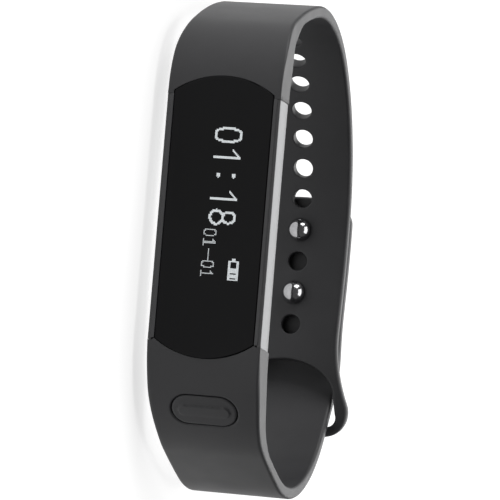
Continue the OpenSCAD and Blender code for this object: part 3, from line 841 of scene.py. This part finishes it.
def clasp_plate(lower, upper):
    """Metal plate on the tail's outer face, with rounded ends."""
    s = [lower.nearest(upper.at(hole_s(number), -STRAP_T)) for number in STUD_HOLES]
    middle, length = (s[0] + s[1]) / 2, abs(s[1] - s[0]) + PLATE_SIZE[0]
    line = stadium((0, 0), (length, PLATE_SIZE[1]))
    line = np.column_stack((line[:, 1] + middle, line[:, 0]))[::-1]
    return slab("clasp_plate_face", [Loop(line, 0.14)], constant(PLATE_T),
                lambda c: band_space(lower)(c - (0, 0, PLATE_RISE)), (0.6, 0.6), 0.2)


def stud(name, upper, number):
    """Polished ball head and neck, turned about the stud's axis."""
    px, py = upper.at(hole_s(number), STRAP_T)
    root = 2 * STRAP_T + LAYER_GAP - 0.3
    profile = [(STUD_HEAD_R * math.sin(math.radians(a)), -STUD_LIFT - STUD_HEAD_R * math.cos(math.radians(a)))
               for a in np.linspace(0, 132, 34)]
    profile += [(STUD_NECK_R, profile[-1][1] + 0.12), (STUD_NECK_R, root), (0, root)]
    n = 64
    verts, faces = [], []
    for k, (r, y) in enumerate(profile):
        verts += [(px + r * math.cos(2 * math.pi * i / n), py + y, r * math.sin(2 * math.pi * i / n))
                  for i in range(n)]
        if k:
            a, b = (k - 1) * n, k * n
            faces += [(a + i, a + (i + 1) % n, b + (i + 1) % n, b + i) for i in range(n)]
    obj = mesh_piece(name, verts, faces)
    outward(obj.data, weld=True)
    return obj


# ---------------------------------------------------------------- materials

def shader_of(m):
    return next(n for n in m.node_tree.nodes if n.type == "BSDF_PRINCIPLED")


def add_node(tree, kind, **inputs):
    """A node with values for its inputs, whose names are written with _ for a space."""
    node = tree.nodes.new(kind)
    for key, value in inputs.items():
        node.inputs[key.replace("_", " ")].default_value = value
    return node


def material(name, colour, rough, metal=0.0, vary=0.12, patch=900.0, grain=None, rough_vary=0.06,
             **sockets):
    """Procedural surface: patches of slightly different colour and roughness over a fine bump.
    grain is (scale, strength, depth in metres, stretch along X, Y and Z)."""
    m = bpy.data.materials.new(name)
    m.use_nodes = True
    tree = m.node_tree
    shader = shader_of(m)
    shader.inputs["Metallic"].default_value = metal
    for key, value in sockets.items():
        shader.inputs[key.replace("_", " ")].default_value = value
    place = tree.nodes.new("ShaderNodeTexCoord")
    patches = add_node(tree, "ShaderNodeTexNoise", Scale=patch, Detail=5)
    tree.links.new(place.outputs["Object"], patches.inputs["Vector"])
    ramp = tree.nodes.new("ShaderNodeValToRGB")
    for element, k in zip(ramp.color_ramp.elements, (1 - vary, 1 + vary)):
        element.color = (*[min(1.0, c * k) for c in colour], 1)
    ramp.color_ramp.elements[0].position = 0.3
    ramp.color_ramp.elements[1].position = 0.7
    tree.links.new(patches.outputs["Fac"], ramp.inputs["Fac"])
    tree.links.new(ramp.outputs["Color"], shader.inputs["Base Color"])
    spread = add_node(tree, "ShaderNodeMapRange", To_Min=rough - rough_vary, To_Max=rough + rough_vary)
    tree.links.new(patches.outputs["Fac"], spread.inputs["Value"])
    tree.links.new(spread.outputs["Result"], shader.inputs["Roughness"])
    if grain:
        scale, strength, depth, stretch = grain
        mapping = add_node(tree, "ShaderNodeMapping", Scale=stretch)
        tree.links.new(place.outputs["Object"], mapping.inputs["Vector"])
        fine = add_node(tree, "ShaderNodeTexNoise", Scale=scale, Detail=3)
        tree.links.new(mapping.outputs["Vector"], fine.inputs["Vector"])
        bump = add_node(tree, "ShaderNodeBump", Strength=strength, Distance=depth)
        tree.links.new(fine.outputs["Fac"], bump.inputs["Height"])
        tree.links.new(bump.outputs["Normal"], shader.inputs["Normal"])
    return m


def glow(m, colour, strength):
    """Makes a surface give off light."""
    shader = shader_of(m)
    shader.inputs["Emission Color"].default_value = (*colour, 1)
    shader.inputs["Emission Strength"].default_value = strength
    return m


# Stretch of a surface's grain along X, Y and Z
EVEN = (1, 1, 1)
ALONG_X = (0.02, 1, 1)


def make_materials():
    """Every material by its slot's name, with the lit dots' own."""
    return {
        "strap_silicone": material("strap_silicone", (0.026, 0.026, 0.028), 0.52, vary=0.08, patch=260,
                                   grain=(7000, 0.25, 2e-5, EVEN), Specular_IOR_Level=0.42),
        "lens_glass": material("lens_glass", (0.003, 0.003, 0.0035), 0.06, rough_vary=0.02, patch=120,
                               Specular_IOR_Level=0.1),
        "display_dots": glow(material("display_dots", (0.4, 0.42, 0.43), 0.5), (0.92, 0.97, 1.0), 0.46),
        "case_plastic": material("case_plastic", (0.03, 0.03, 0.032), 0.42, grain=(5200, 0.3, 2e-5, EVEN)),
        "trim_metal": material("trim_metal", (0.125, 0.127, 0.131), 0.36, metal=1.0, vary=0.06, patch=1500,
                               grain=(5200, 0.25, 1.2e-5, ALONG_X)),
        "adhesive_black": material("adhesive_black", (0.03, 0.03, 0.03), 0.7, grain=(3000, 0.3, 3e-5, EVEN)),
        "gasket_rubber": material("gasket_rubber", (0.25, 0.05, 0.04), 0.5, grain=(4000, 0.2, 2e-5, EVEN)),
        "panel_glass": material("panel_glass", (0.02, 0.022, 0.03), 0.15, rough_vary=0.03),
        "frame_plastic": material("frame_plastic", (0.72, 0.72, 0.69), 0.5, grain=(4000, 0.2, 2e-5, EVEN)),
        "flex_film": material("flex_film", (0.5, 0.24, 0.05), 0.3, grain=(2500, 0.2, 1e-5, ALONG_X)),
        "board_laminate": material("board_laminate", (0.02, 0.16, 0.06), 0.38, grain=(2600, 0.3, 2e-5, EVEN)),
        "chip_plastic": material("chip_plastic", (0.02, 0.02, 0.022), 0.6, grain=(6000, 0.35, 2e-5, EVEN)),
        "ceramic": material("ceramic", (0.78, 0.75, 0.68), 0.45, grain=(5000, 0.2, 1e-5, EVEN)),
        "battery_foil": material("battery_foil", (0.6, 0.61, 0.63), 0.32, metal=1.0,
                                 grain=(900, 0.3, 5e-5, EVEN)),
        "pad_foam": material("pad_foam", (0.7, 0.68, 0.33), 0.85, grain=(3500, 0.8, 6e-5, EVEN)),
        "nickel": material("nickel", (0.64, 0.61, 0.54), 0.35, metal=1.0, grain=(4000, 0.2, 1e-5, ALONG_X)),
        "steel_can": material("steel_can", (0.58, 0.58, 0.6), 0.3, metal=1.0, grain=(4000, 0.25, 1e-5, EVEN)),
        "tungsten": material("tungsten", (0.3, 0.28, 0.26), 0.55, metal=1.0, grain=(3500, 0.5, 3e-5, EVEN)),
        "black_plastic": material("black_plastic", (0.03, 0.03, 0.03), 0.45, grain=(5000, 0.3, 2e-5, EVEN)),
        "tongue_laminate": material("tongue_laminate", (0.03, 0.03, 0.035), 0.4,
                                    grain=(2600, 0.3, 2e-5, EVEN)),
        "gold_contact": material("gold_contact", (0.8, 0.58, 0.2), 0.25, metal=1.0,
                                 grain=(5000, 0.2, 1e-5, ALONG_X)),
        "clasp_steel": material("clasp_steel", (0.5, 0.5, 0.51), 0.3, metal=1.0, vary=0.05,
                                grain=(5200, 0.25, 1.2e-5, ALONG_X)),
        "clasp_chrome": material("clasp_chrome", (0.42, 0.42, 0.43), 0.15, metal=1.0, vary=0.1,
                                 rough_vary=0.04, patch=2500),
    }


def dress(obj, m):
    obj.data.materials.clear()
    obj.data.materials.append(m)
    return obj


# ---------------------------------------------------------------- stage

CAMERA_YAW = 14.6
CAMERA_PITCH = 0.5
CAMERA_ROLL = -4.05
OBJECT_TILT = 2.63
CAMERA_DISTANCE = 440.0
CAMERA_SHIFT_X = -5.54
LENS = 221.76
SENSOR = 36.0


def add_camera():
    """Camera at the reference view, worked out in axes U right, V up and W towards the viewer."""
    def turn(axis, degrees):
        return np.array(Matrix.Rotation(math.radians(degrees), 3, axis))
    tilt = turn("X", -OBJECT_TILT)
    view = turn("Z", CAMERA_ROLL) @ turn("X", CAMERA_PITCH) @ turn("Y", -CAMERA_YAW)
    profile_to_uvw = np.array(((0, 0, 1), (-1, 0, 0), (0, -1, 0)), float)
    to_camera = view @ tilt @ profile_to_uvw
    place = to_camera.T @ np.array((-CAMERA_SHIFT_X, 0, CAMERA_DISTANCE))
    data = bpy.data.cameras.new("camera")
    data.sensor_width = SENSOR
    data.lens = LENS
    data.clip_start, data.clip_end = 0.01, 20
    camera = bpy.data.objects.new("camera", data)
    bpy.context.scene.collection.objects.link(camera)
    matrix = Matrix(to_camera.T.tolist()).to_4x4()
    matrix.translation = Vector(place * MM + ORIGIN)
    camera.matrix_world = matrix
    bpy.context.scene.camera = camera


# Table glow against X: where the fade begins and ends, and the strengths before and after
TABLE_FADE = (0.043, 0.11, 0.68, 0.12)


def add_floor():
    """A wide light table that the object stands on."""
    size = 3.0
    mesh = bpy.data.meshes.new("floor")
    corners = [(-size, -size, 0), (size, -size, 0), (size, size, 0), (-size, size, 0)]
    mesh.from_pydata(corners, [], [(0, 1, 2, 3)])
    floor = bpy.data.objects.new("floor", mesh)
    bpy.context.scene.collection.objects.link(floor)
    looks = glow(material("light_table", (0.4, 0.4, 0.4), 0.9, vary=0.01, patch=6, rough_vary=0.02,
                          Specular_IOR_Level=0.0), (1, 1, 1), 0.6)
    fade_glow(looks)
    dress(floor, looks)


def fade_glow(m):
    """The light table is dimmer past the lower end of the band."""
    tree = m.node_tree
    place = tree.nodes.new("ShaderNodeTexCoord")
    split = tree.nodes.new("ShaderNodeSeparateXYZ")
    fade = tree.nodes.new("ShaderNodeMapRange")
    fade.interpolation_type = "SMOOTHSTEP"
    for name, value in zip(("From Min", "From Max", "To Min", "To Max"), TABLE_FADE):
        fade.inputs[name].default_value = value
    tree.links.new(place.outputs["Object"], split.inputs["Vector"])
    tree.links.new(split.outputs["X"], fade.inputs["Value"])
    tree.links.new(fade.outputs["Result"], shader_of(m).inputs["Emission Strength"])


def add_light(name, place, target, size, power):
    data = bpy.data.lights.new(name, "AREA")
    data.shape = "RECTANGLE"
    data.size, data.size_y = size
    data.energy = power
    light = bpy.data.objects.new(name, data)
    light.location = place
    light.rotation_mode = "QUATERNION"
    light.rotation_quaternion = (Vector(target) - Vector(place)).to_track_quat("-Z", "Y")
    bpy.context.scene.collection.objects.link(light)


def add_lights():
    """Three soft lights and a dim white surround."""
    centre = (0, 0, 0.01)
    add_light("overhead", (0, 0.05, 0.7), centre, (0.7, 0.7), 4)
    add_light("back", (0, 0.6, 0.35), centre, (0.8, 0.5), 3.3)
    add_light("upper_side", (-0.6, -0.1, 0.3), centre, (0.5, 0.4), 2.8)
    world = bpy.data.worlds.new("studio")
    world.use_nodes = True
    bpy.context.scene.world = world
    back = world.node_tree.nodes["Background"]
    back.inputs["Color"].default_value = (1, 1, 1, 1)
    back.inputs["Strength"].default_value = 0.12
    bpy.context.scene.view_settings.view_transform = "Standard"


# ---------------------------------------------------------------- assembly

def add_piece(obj, body, slot, looks, *nodes):
    """Dresses a piece, hangs it on the empty of the body it rides on, and hides the CAD nodes that it
    replaces.
    """
    dress(obj, looks)
    if body:
        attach(obj, body)
    if nodes:
        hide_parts(*nodes)


def main():
    looks = make_materials()
    slots = {part["node"]: part["material_slot"] for part in frame["record"]["subparts"]}
    for name, obj in frame["nodes"].items():
        dress(obj, looks[slots[name]])
    upper = upper_path()
    lower = lower_path(upper)
    add_camera()
    add_floor()
    add_lights()

    silicone = looks["strap_silicone"]
    add_piece(upper_band(upper), "core", "strap_silicone", silicone, "upper_strap")
    band = lower_band(lower)
    add_piece(band, None, "strap_silicone", silicone, "lower_strap", "strap_tail")
    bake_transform(band)
    add_piece(soft_key(lower), "key", "strap_silicone", silicone, "key_pad")
    add_piece(window_glass(), "core", "lens_glass", looks["lens_glass"], "display_lens")
    add_piece(display_image(), "core", "panel_glass", looks["display_dots"])
    for name, side in (("side_trim_right", 1), ("side_trim_left", -1)):
        add_piece(side_trim(name + "_metal", side), "core", "trim_metal", looks["trim_metal"], name)
        for strip in case_edges(name, side):
            add_piece(strip, "core", "case_plastic", looks["case_plastic"])
    add_piece(clasp_plate(lower, upper), "tail", "clasp_steel", looks["clasp_steel"], "clasp_plate")
    for name, number in (("clasp_stud_upper", STUD_HOLES[0]), ("clasp_stud_lower", STUD_HOLES[1])):
        add_piece(stud(name + "_ball", upper, number), "tail", "clasp_chrome", looks["clasp_chrome"], name)


main()
